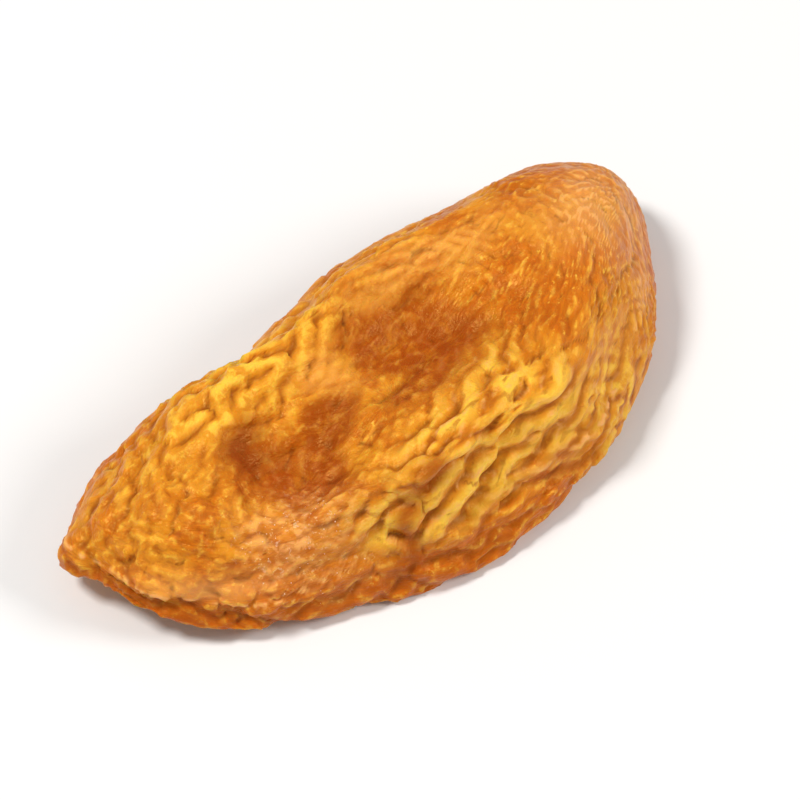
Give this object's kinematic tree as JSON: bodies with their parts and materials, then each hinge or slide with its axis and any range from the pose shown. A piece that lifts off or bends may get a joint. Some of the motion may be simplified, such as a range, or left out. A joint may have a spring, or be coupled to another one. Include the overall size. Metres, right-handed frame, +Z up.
{
  "type": "dried apricot half",
  "caption": "Half of a dried apricot lying skin up: sunken and wrinkled on top, with a thick rolled rim and the stone's hollow underneath.",
  "frame": {"origin": "middle of the box's base, on the surface the half lies on", "axes": "+X along the length towards the blunt end, +Y towards the straighter long side, +Z up through the skin"},
  "size_m": [0.0496, 0.023, 0.0109],
  "materials": {
    "dried_fruit": "dried apricot: golden orange, leathery and slightly sticky, with a soft sheen"
  },
  "bodies": {
    "root": {"apricot_half": "dried_fruit"}
  },
  "joints": []
}
